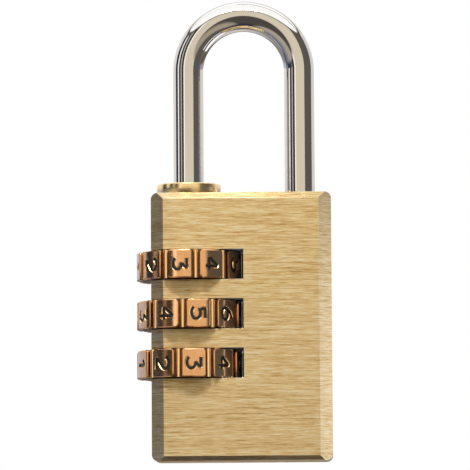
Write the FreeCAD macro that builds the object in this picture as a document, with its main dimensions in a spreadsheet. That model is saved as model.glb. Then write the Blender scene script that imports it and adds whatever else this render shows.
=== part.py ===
"""Three-dial combination padlock for luggage, with a brass body 20 mm wide.

Frame: millimetres, +X to the right, -Y is the front with the open slots, +Z up. The origin is the
middle of the body's bottom face. The long leg of the shackle, the heel, runs down through the
three dials, and the dials turn about it. Each dial drives a clutch sleeve by one key. A ring
inside the sleeve holds down a pin of the heel leg, and lets it pass only where the ring is gapped.
"""
import os
import re

import FreeCAD, Part
import Sketcher

# Driving sizes: name, value in millimetres (angles in degrees), meaning
DRIVING_SIZES = (
    ("body_width", 20.0, "brass body, left to right"),
    ("body_depth", 8.8, "brass body, front to back"),
    ("body_height", 29.7, "brass body, bottom to top"),
    ("side_chamfer", 1.4, "flat on each upright edge"),
    ("top_chamfer", 0.7, "flat along the top edges"),
    ("bottom_chamfer", 0.5, "flat along the bottom edges"),
    ("corner_radius", 0.7, "rounding of the body's outline seen from the front"),
    ("heel_offset", 5.87, "heel leg's axis, to the left of the middle"),
    ("leg_spacing", 12.4, "between the two legs' axes"),
    ("rod_diameter", 3.4, "shackle rod"),
    ("straight_rise", 13.9, "straight legs above the body, up to the bow"),
    ("heel_end", 4.0, "heel leg's end above the bottom face"),
    ("toe_engagement", 3.4, "toe leg inside the body"),
    ("toe_hole_depth", 3.9, "hole for the toe leg"),
    ("leg_end_chamfer", 0.35, "chamfer of both leg ends"),
    ("leg_clearance", 0.05, "between the rod and what it slides in, on the radius"),
    ("lift_travel", 4.2, "how far the shackle lifts"),
    ("stop_gap", 0.05, "left between pin and collar at full lift"),
    ("number_count", 10, "numbers round a dial"),
    ("dial_pitch", 5.46, "from dial to dial"),
    ("middle_dial", 16.2, "middle dial's centre above the bottom face"),
    ("dial_height", 3.16, "thickness of a dial"),
    ("dial_side_gap", 0.1, "between a dial and each side of its slot"),
    ("slot_end_gap", 0.28, "between a dial and the end of its slot"),
    ("dial_radius", 5.85, "dial, out to the faces of its number pads"),
    ("gap_width", 0.9, "gap between two number pads"),
    ("gap_floor", 5.28, "from the dial's axis to the flat floor of a gap"),
    ("rib_top", 5.65, "from the dial's axis to the top of the rib in a gap"),
    ("rib_width", 0.46, "rib along the middle of a gap"),
    ("rib_crown", 0.11, "rise of the rib's rounded top"),
    ("upper_phase", -8.3, "upper dial's turn: its nearest pad from the front"),
    ("middle_phase", 12.0, "middle dial's turn"),
    ("lower_phase", 6.7, "lower dial's turn"),
    ("sleeve_radius", 3.05, "outside of the clutch sleeves"),
    ("sleeve_wall", 0.45, "wall of a clutch sleeve"),
    ("turning_gap", 0.05, "between sleeve and bore, on the radius"),
    ("stack_gap", 0.04, "between one sleeve and the next"),
    ("ring_rise", 2.0, "underside of the gate ring above the sleeve's lower end"),
    ("ring_thickness", 1.0, "gate ring"),
    ("gate_width", 1.9, "gap in the gate ring"),
    ("key_width", 0.9, "key on a sleeve"),
    ("key_reach", 0.4, "key's height above the sleeve"),
    ("key_length", 1.1, "key along the sleeve"),
    ("key_setback", 0.1, "top of the key below the top of its dial"),
    ("key_gap", 0.05, "round the key in its groove"),
    ("key_free_gap", 0.1, "pressed key below the grooved stretch of its dial"),
    ("free_gap", 0.15, "round the key below the grooves, on the radius"),
    ("press_travel", 1.3, "how far the sleeves are pressed to set a number"),
    ("pin_radius", 0.4, "lug pins across the heel leg"),
    ("pin_reach", 2.45, "tip of a lug pin from the heel leg's axis"),
    ("pin_root", 0.3, "lug pin past the heel leg's axis"),
    ("pin_gap", 0.3, "lug pin below its gate ring"),
    ("flange_radius", 3.57, "flange of the heel collar"),
    ("flange_height", 1.17, "flange of the heel collar"),
    ("flange_chamfer", 0.12, "edge of the flange"),
    ("stop_recess", 2.6, "radius of the recess that stops the upper lug pin"),
    ("spring_floor", 2.5, "floor of the heel bore above the bottom face"),
    ("spring_radius", 2.9, "outside of the sleeve spring"),
    ("spring_wire_width", 0.5, "its flat wire, from inside to outside"),
    ("spring_wire_height", 0.4, "its flat wire, from bottom to top"),
    ("spring_turns", 3.0, "turns of the sleeve spring"),
    ("washer_thickness", 0.5, "washer on the sleeve spring"),
    ("washer_gap", 0.1, "between washer and heel leg, on the radius"),
    ("strip_bore", 0.95, "radius of the bore that holds the detent strip"),
    ("strip_breakout", 0.15, "how far that bore opens into the slots"),
    ("strip_width", 1.0, "detent strip, front to back"),
    ("strip_thickness", 0.25, "detent strip"),
    ("strip_setback", 0.02, "strip behind the slots' end, between the dials"),
    ("strip_touch_gap", 0.02, "strip from a dial's largest radius"),
    ("strip_nose", 1.3, "half height of the strip's flat nose at a dial"),
    ("strip_ramp", 0.25, "height of each slope beside the nose"),
    ("strip_tail", 1.7, "strip above the uppermost nose"),
    ("strip_end_gap", 0.1, "strip's upper end from the end of its bore"),
    ("plug_length", 1.5, "plug that closes the strip's bore"),
    ("plug_chamfer", 0.1, "edge of that plug"),
)

# Sizes that follow from the driving ones
DERIVED_SIZES = (
    ("heel_x", "0 - heel_offset"),
    ("toe_x", "leg_spacing - heel_offset"),
    ("rod_radius", "rod_diameter / 2"),
    ("leg_bore", "rod_radius + leg_clearance"),
    ("bow_height", "body_height + straight_rise"),
    ("toe_end", "body_height - toe_engagement"),
    ("slot_height", "dial_height + 2 * dial_side_gap"),
    ("slot_end", "heel_x + dial_radius + slot_end_gap"),
    ("rib_shoulder", "rib_top - rib_crown"),
    ("rib_crown_radius", "(rib_width ^ 2 / 4 + rib_crown ^ 2) / (2 * rib_crown)"),
    ("heel_bore", "sleeve_radius + turning_gap"),
    ("sleeve_inside", "sleeve_radius - sleeve_wall"),
    ("sleeve_length", "dial_pitch - stack_gap"),
    ("key_circle", "sleeve_radius + key_reach"),
    ("key_top", "(sleeve_length + dial_height) / 2 - key_setback"),
    ("groove_circle", "key_circle + key_gap"),
    ("groove_width", "key_width + 2 * key_gap"),
    ("groove_length", "key_setback + press_travel - key_free_gap"),
    ("stack_bottom", "middle_dial - 1.5 * dial_pitch + stack_gap / 2"),
    ("stack_top", "stack_bottom + 3 * dial_pitch - stack_gap"),
    ("washer_top", "stack_bottom - stack_gap"),
    ("washer_bottom", "washer_top - washer_thickness"),
    ("pin_rise", "ring_rise - pin_gap - pin_radius"),
    ("collar_bottom", "stack_top + stack_gap"),
    ("upper_pin", "stack_bottom + 2 * dial_pitch + pin_rise"),
    ("stop_height", "upper_pin + pin_radius + lift_travel + stop_gap"),
    ("flange_top", "body_height + flange_height"),
    ("strip_bore_x", "slot_end - strip_breakout + strip_bore"),
    ("strip_front", "slot_end + strip_setback"),
    ("strip_nose_x", "heel_x + dial_radius + strip_touch_gap"),
    ("strip_top", "middle_dial + dial_pitch + strip_nose + strip_ramp + strip_tail"),
    ("strip_bore_depth", "strip_top + strip_end_gap"),
    ("half_step", "180 / number_count"),
)

# Rows from the bottom up: name, steps above the lower dial, alias of the dial's turn
ROWS = (("lower", 0, "lower_phase"), ("middle", 1, "middle_phase"), ("upper", 2, "upper_phase"))

SAME_PLACE = 1e-3  # two places nearer than this are the same

doc = FreeCAD.newDocument("CombinationPadlock")
sheet = doc.addObject("Spreadsheet::Sheet", "Sizes")
sheet.Label = "sizes"
ALIASES = set()


def fill_sheet():
    """Write every size into the sheet, one row each, under its own name."""
    rows = [(name, str(size), meaning) for name, size, meaning in DRIVING_SIZES]
    rows += [(name, "=" + rule, "follows from the sizes above") for name, rule in DERIVED_SIZES]
    for row, (name, content, meaning) in enumerate(rows, start=1):
        sheet.set("A%d" % row, name)
        sheet.set("B%d" % row, content)
        sheet.set("C%d" % row, meaning)
        sheet.setAlias("B%d" % row, name)
        ALIASES.add(name)
    doc.recompute()


def formula(text):
    """Turn a rule in plain size names into an expression that reads the sheet."""
    words = "|".join(sorted(ALIASES, key=len, reverse=True))
    return re.sub(r"\b(%s)\b" % words, r"<<sizes>>.\1", text)


def number(text):
    """The present value of a rule."""
    return float(sheet.evalExpression(formula(text)))


def new_body(name, x=None, z=None, turn=None):
    """A body at a place on the XZ plane, turned about its own Z axis."""
    body = doc.addObject("PartDesign::Body", name)
    body.Label = name
    for path, rule in (("Base.x", x), ("Base.z", z), ("Rotation.Angle", turn)):
        if rule is not None:
            body.setExpression("Placement." + path, formula(rule))
    return body


def new_sketch(body, name, plane="XY_Plane", offset=None, turn=None):
    """A sketch on one of the body's own planes, moved along that plane's normal or turned about it."""
    sketch = body.newObject("Sketcher::SketchObject", name)
    support = [feature for feature in body.Origin.OriginFeatures if feature.Role == plane]
    sketch.AttachmentSupport = (support[0], "")
    sketch.MapMode = "FlatFace"
    for path, rule in (("Base.z", offset), ("Rotation.Angle", turn)):
        if rule is not None:
            sketch.setExpression("AttachmentOffset." + path, formula(rule))
    return sketch


def fix_point(sketch, geometry, point, x, y):
    """Tie one point of a sketch to the origin by two sizes."""
    for kind, rule in (("DistanceX", x), ("DistanceY", y)):
        index = sketch.addConstraint(Sketcher.Constraint(kind, -1, 1, geometry, point, number(rule)))
        sketch.setExpression("Constraints[%d]" % index, formula(rule))


def draw_outline(sketch, corners):
    """A closed outline of straight lines through corners given as two rules each."""
    places = [FreeCAD.Vector(number(x), number(y), 0) for x, y in corners]
    lines = []
    for start, end in zip(places, places[1:] + places[:1]):
        lines.append(sketch.addGeometry(Part.LineSegment(start, end), False))
    for line, following in zip(lines, lines[1:] + lines[:1]):
        sketch.addConstraint(Sketcher.Constraint("Coincident", line, 2, following, 1))
    for line, (x, y) in zip(lines, corners):
        fix_point(sketch, line, 1, x, y)


def draw_box(sketch, left, bottom, right, top):
    draw_outline(sketch, [(left, bottom), (right, bottom), (right, top), (left, top)])


def draw_circle(sketch, radius, x="0", y="0"):
    centre = FreeCAD.Vector(number(x), number(y), 0)
    circle = sketch.addGeometry(Part.Circle(centre, FreeCAD.Vector(0, 0, 1), number(radius)), False)
    fix_point(sketch, circle, 3, x, y)
    index = sketch.addConstraint(Sketcher.Constraint("Radius", circle, number(radius)))
    sketch.setExpression("Constraints[%d]" % index, formula(radius))


def add_pad(body, sketch, name, length, midplane=False):
    pad = body.newObject("PartDesign::Pad", name)
    pad.Profile = sketch
    pad.setExpression("Length", formula(length))
    pad.Midplane = midplane
    return pad


def add_pocket(body, sketch, name, depth=None, upward=False):
    """Cut from the sketch: to a depth, or, with no depth, through the body on both sides."""
    pocket = body.newObject("PartDesign::Pocket", name)
    pocket.Profile = sketch
    pocket.Reversed = upward
    if depth is None:
        pocket.Type = "ThroughAll"
        pocket.Midplane = True
    else:
        pocket.setExpression("Length", formula(depth))
    return pocket


def add_turned(body, sketch, name):
    """Turn a sketch on the XZ plane about the body's own Z axis."""
    turned = body.newObject("PartDesign::Revolution", name)
    turned.Profile = sketch
    turned.ReferenceAxis = (sketch, ["V_Axis"])
    turned.Angle = 360
    return turned


def repeat_around(body, feature, sketch, name):
    """Repeat a feature once for each number of the dial."""
    pattern = body.newObject("PartDesign::PolarPattern", name)
    pattern.Originals = [feature]
    pattern.Axis = (sketch, ["N_Axis"])
    pattern.Angle = 360
    pattern.setExpression("Occurrences", formula("number_count"))
    body.Tip = pattern
    return pattern


def edges_where(feature, rule):
    """Names of the edges of a feature that answer to a rule."""
    doc.recompute()
    return ["Edge%d" % n for n, edge in enumerate(feature.Shape.Edges, start=1) if rule(edge)]


def step_up(height, step):
    """A height in the lower row, moved up by a number of rows."""
    return "%s + %d * dial_pitch" % (height, step)


def make_lock_body():
    """Brass block: slots from the left, bores for the heel, the toe and the detent strip."""
    body = new_body("lock_body")

    plan = new_sketch(body, "PlanSketch")
    half_width = "body_width / 2"
    half_depth = "body_depth / 2"
    corners = []
    for x_sign, y_sign in ((1, 1), (-1, 1), (-1, -1), (1, -1)):
        on_side = ("%d * %s" % (x_sign, half_width), "%d * (%s - side_chamfer)" % (y_sign, half_depth))
        on_face = ("%d * (%s - side_chamfer)" % (x_sign, half_width), "%d * %s" % (y_sign, half_depth))
        corners += [on_side, on_face] if x_sign == y_sign else [on_face, on_side]
    draw_outline(plan, corners)
    add_pad(body, plan, "Block", "body_height")

    edges = new_sketch(body, "EdgeSketch", "YZ_Plane")
    for sign in (1, -1):
        for height, inward, size in (("0", 1, "bottom_chamfer"), ("body_height", -1, "top_chamfer")):
            draw_outline(edges, [
                ("%d * %s" % (sign, half_depth), height),
                ("%d * (%s - %s)" % (sign, half_depth, size), height),
                ("%d * %s" % (sign, half_depth), "%s + %d * %s" % (height, inward, size)),
            ])
    add_pocket(body, edges, "TopAndBottomChamfers")

    slots = new_sketch(body, "SlotSketch", "XZ_Plane")
    for name, step, phase in ROWS:
        centre = "middle_dial + %d * dial_pitch" % (step - 1)
        draw_box(slots, "0 - body_width", centre + " - slot_height / 2",
                 "slot_end", centre + " + slot_height / 2")
    add_pocket(body, slots, "DialSlots")

    heel = new_sketch(body, "HeelBoreSketch", offset="spring_floor")
    draw_circle(heel, "heel_bore", "heel_x")
    add_pocket(body, heel, "HeelBore", "body_height", upward=True)

    keyway = new_sketch(body, "KeywaySketch", offset="stack_bottom")
    draw_box(keyway, "heel_x", "0 - groove_width / 2", "heel_x + groove_circle", "groove_width / 2")
    add_pocket(body, keyway, "Keyway", "body_height", upward=True)

    toe = new_sketch(body, "ToeHoleSketch", offset="body_height - toe_hole_depth")
    draw_circle(toe, "leg_bore", "toe_x")
    add_pocket(body, toe, "ToeHole", "body_height", upward=True)

    strip = new_sketch(body, "StripBoreSketch")
    draw_circle(strip, "strip_bore", "strip_bore_x")
    last = add_pocket(body, strip, "StripBore", "strip_bore_depth", upward=True)

    # The four corners seen from the front: short straight edges along Y at both ends of each side face
    side = number(half_width)
    ends = (0.0, number("body_height"))

    def is_side_corner(edge):
        box = edge.BoundBox
        on_side = abs(abs(box.Center.x) - side) < SAME_PLACE and box.XLength < SAME_PLACE
        level = box.ZLength < SAME_PLACE
        return on_side and level and min(abs(box.ZMin - end) for end in ends) < SAME_PLACE

    rounding = body.newObject("PartDesign::Fillet", "SideCorners")
    rounding.Base = (last, edges_where(last, is_side_corner))
    rounding.setExpression("Radius", formula("corner_radius"))
    return body


def make_shackle():
    """One bent rod: a long heel leg with three pin holes, the bow, and a short toe leg."""
    body = new_body("shackle", x="heel_x")

    path = new_sketch(body, "PathSketch", "XZ_Plane")
    heel_foot = FreeCAD.Vector(0, number("heel_end"), 0)
    heel_top = FreeCAD.Vector(0, number("bow_height"), 0)
    toe_top = FreeCAD.Vector(number("leg_spacing"), number("bow_height"), 0)
    toe_foot = FreeCAD.Vector(number("leg_spacing"), number("toe_end"), 0)
    bow_top = FreeCAD.Vector(number("leg_spacing / 2"), number("bow_height + leg_spacing / 2"), 0)
    heel = path.addGeometry(Part.LineSegment(heel_foot, heel_top), False)
    bow = path.addGeometry(Part.Arc(heel_top, bow_top, toe_top), False)
    toe = path.addGeometry(Part.LineSegment(toe_top, toe_foot), False)
    # A sketch keeps an arc counter-clockwise: it starts at the toe and ends at the heel
    path.addConstraint(Sketcher.Constraint("Coincident", heel, 2, bow, 2))
    path.addConstraint(Sketcher.Constraint("Coincident", bow, 1, toe, 1))
    fix_point(path, heel, 1, "0", "heel_end")
    fix_point(path, heel, 2, "0", "bow_height")
    fix_point(path, toe, 1, "leg_spacing", "bow_height")
    fix_point(path, toe, 2, "leg_spacing", "toe_end")
    centre = path.addConstraint(Sketcher.Constraint("DistanceY", -1, 1, bow, 3, number("bow_height")))
    path.setExpression("Constraints[%d]" % centre, formula("bow_height"))

    section = new_sketch(body, "RodSketch", offset="heel_end")
    draw_circle(section, "rod_radius")
    rod = body.newObject("PartDesign::AdditivePipe", "Rod")
    rod.Profile = section
    rod.Spine = path

    ends = (number("heel_end"), number("toe_end"))

    def is_leg_end(edge):
        box = edge.BoundBox
        return box.ZLength < SAME_PLACE and min(abs(box.ZMin - end) for end in ends) < SAME_PLACE

    chamfer = body.newObject("PartDesign::Chamfer", "LegEnds")
    chamfer.Base = (rod, edges_where(rod, is_leg_end))
    chamfer.setExpression("Size", formula("leg_end_chamfer"))

    holes = new_sketch(body, "PinHoleSketch", "YZ_Plane", offset="0 - pin_root")
    for name, step, phase in ROWS:
        draw_circle(holes, "pin_radius", "0", step_up("stack_bottom + pin_rise", step))
    add_pocket(body, holes, "PinHoles", "pin_root + rod_diameter", upward=True)
    return body


def make_lug_pin(name, step):
    """A short dowel pressed into the heel leg from the side of the toe."""
    body = new_body("lug_pin_" + name, x="heel_x - pin_root", z=step_up("stack_bottom + pin_rise", step))
    body.Placement.Rotation = FreeCAD.Rotation(FreeCAD.Vector(0, 1, 0), 90)
    section = new_sketch(body, "PinSketch")
    draw_circle(section, "pin_radius")
    add_pad(body, section, "Pin", "pin_root + pin_reach")
    return body


def make_heel_collar():
    """Turned bush: a flange on the body, a pressed spigot, and a recess that stops the upper pin."""
    body = new_body("heel_collar", x="heel_x")
    profile = new_sketch(body, "CollarSketch", "XZ_Plane")
    draw_outline(profile, [
        ("stop_recess", "collar_bottom"),
        ("heel_bore", "collar_bottom"),
        ("heel_bore", "body_height"),
        ("flange_radius", "body_height"),
        ("flange_radius", "flange_top - flange_chamfer"),
        ("flange_radius - flange_chamfer", "flange_top"),
        ("leg_bore", "flange_top"),
        ("leg_bore", "stop_height"),
        ("stop_recess", "stop_height"),
    ])
    add_turned(body, profile, "Collar")
    return body


def draw_rib(sketch):
    """Section of the rib in a gap: straight flanks from inside the dial up to a rounded crown."""
    side = "rib_width / 2"
    foot = "0 - gap_floor + rib_width"
    shoulder = "0 - rib_shoulder"
    corners = [("0 - " + side, shoulder), ("0 - " + side, foot), (side, foot), (side, shoulder)]
    places = [FreeCAD.Vector(number(x), number(y), 0) for x, y in corners]
    flanks = [sketch.addGeometry(Part.LineSegment(start, end), False)
              for start, end in zip(places, places[1:])]
    top = FreeCAD.Vector(0, -number("rib_top"), 0)
    crown = sketch.addGeometry(Part.Arc(places[0], top, places[3]), False)
    for line, following in zip(flanks, flanks[1:]):
        sketch.addConstraint(Sketcher.Constraint("Coincident", line, 2, following, 1))
    sketch.addConstraint(Sketcher.Constraint("Coincident", crown, 1, flanks[0], 1))
    sketch.addConstraint(Sketcher.Constraint("Coincident", crown, 2, flanks[2], 2))
    for line, (x, y) in zip(flanks, corners):
        fix_point(sketch, line, 1, x, y)
    fix_point(sketch, flanks[2], 2, side, shoulder)
    centre = "rib_crown_radius - rib_top"
    index = sketch.addConstraint(Sketcher.Constraint("DistanceY", -1, 1, crown, 3, number(centre)))
    sketch.setExpression("Constraints[%d]" % index, formula(centre))


def make_dial(name, step, phase):
    """Dial with round-faced number pads, a rib in each gap, and grooves for the key in its bore."""
    bottom = "middle_dial + %d * dial_pitch - dial_height / 2" % (step - 1)
    body = new_body("dial_" + name, x="heel_x", z=bottom, turn=phase)

    disc = new_sketch(body, "DiscSketch")
    draw_circle(disc, "dial_radius")
    add_pad(body, disc, "Disc", "dial_height")

    gap_sketch = new_sketch(body, "GapSketch", turn="half_step")
    outside = "0 - dial_radius - gap_width"
    draw_box(gap_sketch, "0 - gap_width / 2", outside, "gap_width / 2", "0 - gap_floor")
    gap = add_pocket(body, gap_sketch, "Gap", "dial_height", upward=True)
    repeat_around(body, gap, gap_sketch, "Gaps")

    rib_sketch = new_sketch(body, "RibSketch", turn="half_step")
    draw_rib(rib_sketch)
    rib = add_pad(body, rib_sketch, "Rib", "dial_height")
    repeat_around(body, rib, rib_sketch, "Ribs")

    bore = new_sketch(body, "BoreSketch")
    draw_circle(bore, "heel_bore")
    add_pocket(body, bore, "Bore")

    groove_sketch = new_sketch(body, "KeyGrooveSketch")
    draw_box(groove_sketch, "0", "0 - groove_width / 2", "groove_circle", "groove_width / 2")
    groove = add_pocket(body, groove_sketch, "KeyGroove", "dial_height", upward=True)
    repeat_around(body, groove, groove_sketch, "KeyGrooves")

    free = new_sketch(body, "FreeBoreSketch")
    draw_circle(free, "key_circle + free_gap")
    add_pocket(body, free, "FreeBore", "dial_height - groove_length", upward=True)
    return body


def make_sleeve(name, step, phase):
    """Clutch sleeve: a thin tube with a gapped ring inside and one key outside."""
    body = new_body("sleeve_" + name, x="heel_x", z=step_up("stack_bottom", step), turn=phase)

    profile = new_sketch(body, "TubeSketch", "XZ_Plane")
    draw_outline(profile, [
        ("sleeve_inside", "0"),
        ("sleeve_radius", "0"),
        ("sleeve_radius", "sleeve_length"),
        ("sleeve_inside", "sleeve_length"),
        ("sleeve_inside", "ring_rise + ring_thickness"),
        ("leg_bore", "ring_rise + ring_thickness"),
        ("leg_bore", "ring_rise"),
        ("sleeve_inside", "ring_rise"),
    ])
    add_turned(body, profile, "TubeAndRing")

    key = new_sketch(body, "KeySketch", offset="key_top - key_length")
    draw_box(key, "sleeve_radius - sleeve_wall / 2", "0 - key_width / 2", "key_circle", "key_width / 2")
    add_pad(body, key, "Key", "key_length")

    gate = new_sketch(body, "GateSketch", offset="ring_rise")
    draw_box(gate, "0", "0 - gate_width / 2", "sleeve_inside", "gate_width / 2")
    add_pocket(body, gate, "Gate", "ring_thickness", upward=True)
    return body


def make_washer():
    body = new_body("spring_washer", x="heel_x", z="washer_bottom")
    ring = new_sketch(body, "WasherSketch")
    draw_circle(ring, "sleeve_radius")
    draw_circle(ring, "rod_radius + washer_gap")
    add_pad(body, ring, "Washer", "washer_thickness")
    return body


def make_sleeve_spring():
    """Coil spring of flat wire round the heel leg, with both ends ground flat."""
    length = number("washer_bottom - spring_floor")
    inside = number("spring_radius - spring_wire_width")
    outside = number("spring_radius")
    half_height = number("spring_wire_height / 2")
    pitch = (length - 2 * half_height) / number("spring_turns")
    corners = [
        FreeCAD.Vector(inside, 0, -half_height),
        FreeCAD.Vector(outside, 0, -half_height),
        FreeCAD.Vector(outside, 0, half_height),
        FreeCAD.Vector(inside, 0, half_height),
    ]
    section = Part.makePolygon(corners + corners[:1])
    helix = Part.Wire(Part.makeHelix(pitch, length, outside))
    coil = helix.makePipeShell([section], True, True)
    between_faces = Part.makeCylinder(2 * outside, length)
    spring = doc.addObject("Part::Feature", "sleeve_spring")
    spring.Label = "sleeve_spring"
    spring.Shape = coil.common(between_faces)
    foot = FreeCAD.Vector(number("heel_x"), 0, number("spring_floor"))
    spring.Placement = FreeCAD.Placement(foot, FreeCAD.Rotation())
    return spring


def make_detent_strip():
    """Leaf spring that stands in its bore and presses one flat nose against each dial."""
    body = new_body("detent_strip")
    profile = new_sketch(body, "StripSketch", "XZ_Plane")
    front = [("strip_front", "plug_length")]
    for name, step, phase in ROWS:
        centre = "middle_dial + %d * dial_pitch" % (step - 1)
        front += [
            ("strip_front", centre + " - strip_nose - strip_ramp"),
            ("strip_nose_x", centre + " - strip_nose"),
            ("strip_nose_x", centre + " + strip_nose"),
            ("strip_front", centre + " + strip_nose + strip_ramp"),
        ]
    front.append(("strip_front", "strip_top"))
    back = [(x + " + strip_thickness", z) for x, z in reversed(front)]
    draw_outline(profile, front + back)
    add_pad(body, profile, "Strip", "strip_width", midplane=True)
    return body


def make_detent_plug():
    body = new_body("detent_plug", x="strip_bore_x")
    profile = new_sketch(body, "PlugSketch", "XZ_Plane")
    draw_outline(profile, [
        ("0", "0"),
        ("strip_bore - plug_chamfer", "0"),
        ("strip_bore", "plug_chamfer"),
        ("strip_bore", "plug_length"),
        ("0", "plug_length"),
    ])
    add_turned(body, profile, "Plug")
    return body


def check_and_export(pieces):
    """Stop on anything that failed, then write each piece to its own STEP file."""
    doc.recompute()
    for item in doc.Objects:
        if "Invalid" in item.State or "Error" in item.State:
            raise RuntimeError("%s did not compute: %s" % (item.Name, item.State))
    for piece in pieces:
        shape = piece.Shape
        if shape.isNull() or not shape.isValid() or len(shape.Solids) != 1:
            raise RuntimeError("%s is not one valid solid" % piece.Label)
    os.makedirs("parts", exist_ok=True)
    for piece in pieces:
        piece.Shape.exportStep("parts/%s.step" % piece.Label)
        print("%-16s %9.3f mm3" % (piece.Label, piece.Shape.Volume))


fill_sheet()
pieces = [make_lock_body(), make_shackle(), make_heel_collar(), make_washer(), make_sleeve_spring()]
pieces += [make_detent_strip(), make_detent_plug()]
for name, step, phase in ROWS:
    pieces.append(make_dial(name, step, phase))
    pieces.append(make_sleeve(name, step, phase))
    pieces.append(make_lug_pin(name, step))
check_and_export(pieces)
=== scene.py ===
"""Looks of the combination padlock: linished brass body, bent chromed shackle, three number dials.

Lengths in this script are millimetres up to the point where a mesh is made, and metres from there on.
"""
import math

import bmesh
import bpy
from mathutils import Matrix, Vector


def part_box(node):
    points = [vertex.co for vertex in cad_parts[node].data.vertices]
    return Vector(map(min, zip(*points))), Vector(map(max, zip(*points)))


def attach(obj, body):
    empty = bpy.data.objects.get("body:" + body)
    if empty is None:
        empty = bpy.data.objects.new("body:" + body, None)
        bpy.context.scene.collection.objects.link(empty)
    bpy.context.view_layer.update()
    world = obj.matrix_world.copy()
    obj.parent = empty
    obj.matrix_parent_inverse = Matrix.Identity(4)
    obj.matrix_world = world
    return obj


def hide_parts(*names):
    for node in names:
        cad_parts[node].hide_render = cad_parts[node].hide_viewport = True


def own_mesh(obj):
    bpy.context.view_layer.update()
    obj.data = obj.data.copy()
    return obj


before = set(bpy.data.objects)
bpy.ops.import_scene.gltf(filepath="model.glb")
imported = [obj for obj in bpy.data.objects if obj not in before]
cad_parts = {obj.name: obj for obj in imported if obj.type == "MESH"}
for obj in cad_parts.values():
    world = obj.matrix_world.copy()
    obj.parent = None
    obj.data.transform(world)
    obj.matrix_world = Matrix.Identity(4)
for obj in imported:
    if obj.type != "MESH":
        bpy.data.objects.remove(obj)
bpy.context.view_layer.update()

MM = 0.001

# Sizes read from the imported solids


def box_mm(node):
    """Lowest and highest corner of a solid, in millimetres."""
    low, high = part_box(node)
    return low / MM, high / MM


BODY_LOW, BODY_HIGH = box_mm("lock_body")
COLLAR_LOW, COLLAR_HIGH = box_mm("heel_collar")
SHACKLE_LOW, SHACKLE_HIGH = box_mm("shackle")
DIALS = ("upper", "middle", "lower")

HEEL_X = (COLLAR_LOW.x + COLLAR_HIGH.x) / 2
ROD_RADIUS = (SHACKLE_HIGH.y - SHACKLE_LOW.y) / 2
TOE_X = SHACKLE_HIGH.x - ROD_RADIUS
BOW_RADIUS = (TOE_X - HEEL_X) / 2
BOW_HEIGHT = SHACKLE_HIGH.z - ROD_RADIUS - BOW_RADIUS

# Sizes that the solids' boxes don't give
TOE_END = 26.3          # foot of the short leg
LEG_END_CHAMFER = 0.35
SIDE_CHAMFER = 1.4      # flats on the body's upright edges
TOP_CHAMFER = 0.7
BOTTOM_CHAMFER = 0.5
FACE_DEPTH = 0.2        # a face deeper in the block than this is inside a slot or bore
BODY_EDGE_BREAK = 0.11  # what linishing leaves of the block's edges
BROAD_FACE = 3.0        # square millimetres: an outer face larger than this is flat
COLLAR_BORE = 1.75
COLLAR_RECESS = 2.6
COLLAR_SPIGOT = 3.1
COLLAR_STOP = 24.9      # ceiling of the recess that stops the upper pin
COLLAR_EDGE = 0.16      # rolled upper edge of the flange
COLLAR_FOOT_EDGE = 0.05
COLLAR_BORE_EDGE = 0.06

DIAL_RADIUS = 5.85
DIAL_HEIGHT = 3.16
DIAL_BORE = 3.1
DIAL_FREE_BORE = 3.6    # the bore's lower stretch, where the key turns free
DIAL_CHAMFER = 0.05
KEY_GROOVE_WIDTH = 1.0
KEY_GROOVE_START = 2.0  # distance from the axis, inside the open bore
KEY_GROOVE_REACH = 3.5
KEY_GROOVE_LENGTH = 1.3
NUMBER_COUNT = 10
GAP_WIDTH = 0.9
GAP_FLOOR = 5.28
RIB_TOP = 5.65
RIB_RADIUS = 0.28
RIB_SHARE = 0.985       # length of a rib, as a share of the dial's height
PAD_CORNER = 0.34       # rounding of a number pad's corners
PAD_EDGE = 0.12         # bevel round a number pad
PAD_SUNK = 0.1          # a pad's foot below the floor of the gaps
PAD_SHORT = 0.01        # a pad ends this far inside the dial's flat sides
NUMBER_BREADTH = 1.38   # width of the numbers, as a share of the one that they are drawn with below
STROKE_WIDTH = 0.35     # black part of an engraved stroke, at its top
STROKE_TAPER = 0.9      # the same at the bottom of the cut, as a share
STROKE_LIP = 0.08       # bright slope on each side of a stroke
STROKE_DEPTH = 0.17
STROKE_CORNER = 0.1     # turns of the engraver's path
CUTTER_RISE = 0.1       # how far the cutters stand out of a pad

# How finely round shapes are divided
ROD_SIDES = 64
BOW_STEPS = 96
COLLAR_SIDES = 96
DIAL_SIDES = 120
RIB_SIDES = 24
SHARP_ANGLE = 30        # degrees: edges that turn more than this stay sharp

# The number that stands nearest to the front, and how many degrees it is turned from there, to the right
FRONT_NUMBERS = {"upper": (3, -8.3), "middle": (5, 12.0), "lower": (3, 6.7)}

RELIEF_DEPTH = 0.02     # height of the relief in the finishes, before its strength


# Nodes, meshes and materials in general


def linear(hex_colour):
    """An sRGB colour written as hex digits, as the linear colour that Blender's sockets take."""
    values = [int(hex_colour[n:n + 2], 16) / 255 for n in (1, 3, 5)]
    return [v / 12.92 if v <= 0.04045 else ((v + 0.055) / 1.055) ** 2.4 for v in values] + [1.0]


def add_node(tree, kind, links=None, values=None, **settings):
    """One node: its settings, the fixed values of its sockets, and what is linked to the others."""
    node = tree.nodes.new(kind)
    for name, value in settings.items():
        setattr(node, name, value)
    for socket, value in (values or {}).items():
        node.inputs[socket].default_value = value
    for socket, source in (links or {}).items():
        for one in source if isinstance(source, list) else [source]:
            tree.links.new(one, node.inputs[socket])
    return node


def calculate(tree, operation, *terms):
    """A Math node; each term is a fixed value or the output of another node."""
    node = tree.nodes.new("ShaderNodeMath")
    node.operation = operation
    for socket, term in zip(node.inputs, terms):
        if isinstance(term, (int, float)):
            socket.default_value = term
        else:
            tree.links.new(term, socket)
    return node.outputs[0]


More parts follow.
